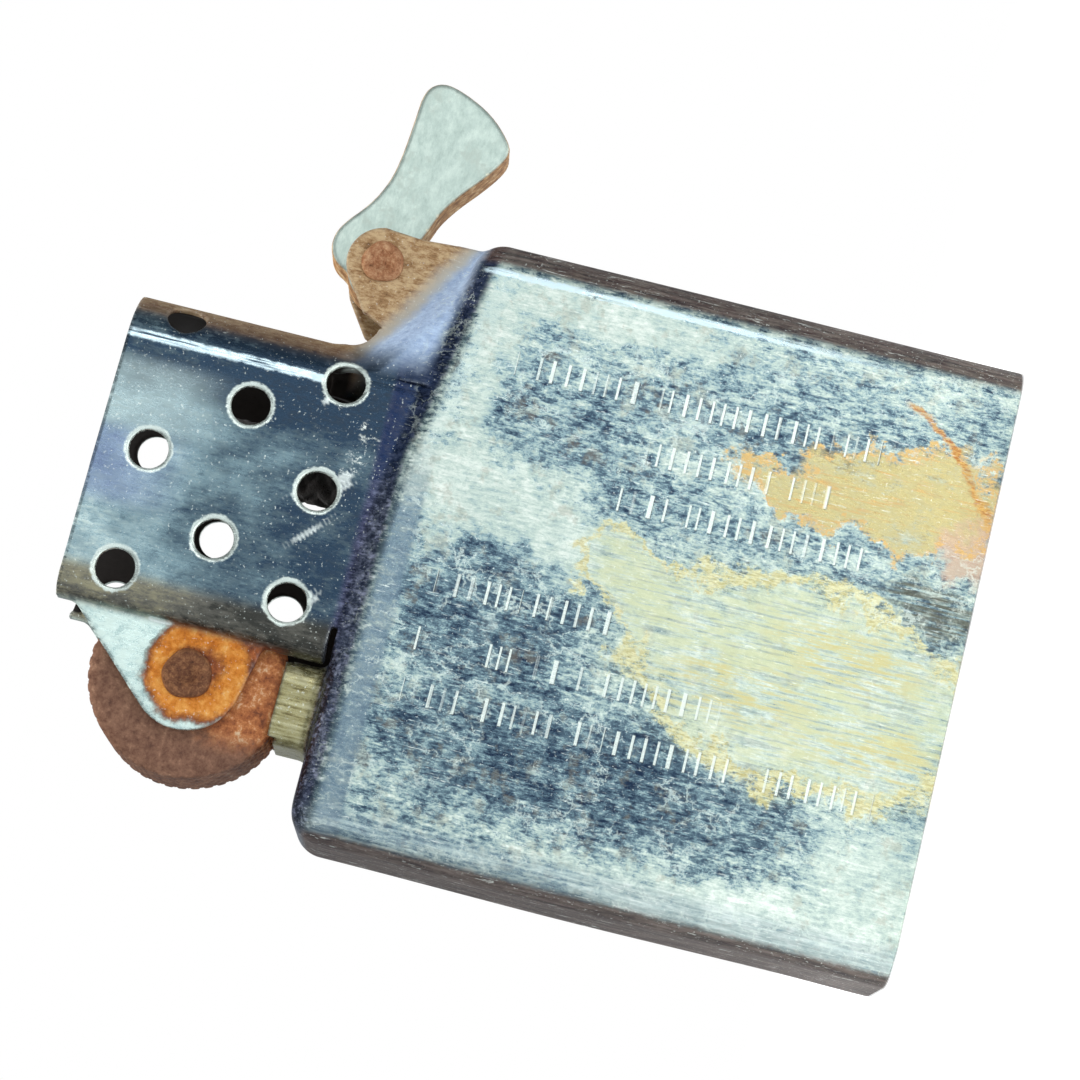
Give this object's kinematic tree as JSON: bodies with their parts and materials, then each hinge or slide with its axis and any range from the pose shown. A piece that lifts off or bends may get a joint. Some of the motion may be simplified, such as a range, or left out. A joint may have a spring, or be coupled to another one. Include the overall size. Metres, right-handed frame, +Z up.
{
  "type": "windproof lighter insert",
  "caption": "Wick-lighter insert: rectangular tank case with perforated windscreen, flint wheel on ears, snap cam and a spring-fed flint.",
  "frame": {"origin": "centre of the case's open bottom rim", "axes": "+Z up to the windscreen's top, +X towards the snap cam, -X towards the flint wheel, -Y the face with the wheel on its left"},
  "size_m": [0.0454, 0.011, 0.0498],
  "materials": {
    "case_steel": "tarnished stainless sheet with rust stains",
    "plate_metal": "dull brass-plated sheet",
    "tube_metal": "dull brass",
    "rivet_steel": "rusted steel",
    "wheel_steel": "rusted hardened steel",
    "cam_steel": "satin steel with rust on its edges",
    "spring_steel": "drawn spring steel",
    "flint_alloy": "dull grey alloy",
    "screw_metal": "worn brass",
    "wick_cord": "charred braided cotton",
    "cotton": "loose cotton",
    "felt": "pressed wool felt"
  },
  "bodies": {
    "case": {"case_shell": "case_steel", "top_plate": "plate_metal", "flint_tube": "tube_metal", "wheel_rivet": "rivet_steel", "cam_rivet": "rivet_steel", "cam_spring": "spring_steel", "cam_spring_rivet": "tube_metal", "wick": "wick_cord", "cotton_pad_1": "cotton", "cotton_pad_2": "cotton", "cotton_pad_3": "cotton", "cotton_pad_4": "cotton", "cotton_pad_5": "cotton", "felt_pad": "felt"},
    "flint_wheel": {"flint_wheel": "wheel_steel"},
    "cam": {"cam": "cam_steel"},
    "flint_stack": {"flint": "flint_alloy", "flint_pusher": "tube_metal"},
    "spring_unit": {"flint_spring": "spring_steel"},
    "spring_screw": {"spring_screw": "screw_metal"},
    "felt_flap": {"felt_flap": "felt"}
  },
  "joints": [
    {"name": "wheel_spin", "type": "hinge", "parent": "case", "child": "flint_wheel", "pos_m": [-0.0106, 0, 0.0415], "axis": [0, 1, 0], "continuous": true},
    {"name": "cam_swing", "type": "hinge", "parent": "case", "child": "cam", "pos_m": [0.0154, 0, 0.03705], "axis": [0, -1, 0], "range_deg": [0, 105]},
    {"name": "flint_feed", "type": "slide", "parent": "case", "child": "flint_stack", "axis": [0, 0, 1], "range_m": [-0.002, 0], "stiffness_N_per_m": 60, "deforming": ["flint_spring"]},
    {"name": "screw_withdraw", "type": "slide", "parent": "case", "child": "spring_unit", "axis": [0, 0, 1], "range_m": [-0.0028, 0]},
    {"name": "screw_turn", "type": "hinge", "parent": "spring_unit", "child": "spring_screw", "pos_m": [-0.0106, 0, 0], "axis": [0, 0, 1], "range_deg": [0, 1441]},
    {"name": "flap_lift", "type": "hinge", "parent": "case", "child": "felt_flap", "pos_m": [-0.0042, 0, 0.002], "axis": [0, 1, 0], "range_deg": [0, 80]}
  ],
  "couplings": [
    {"joint": "screw_turn", "follows": "screw_withdraw", "rad_per_m": -8976}
  ]
}
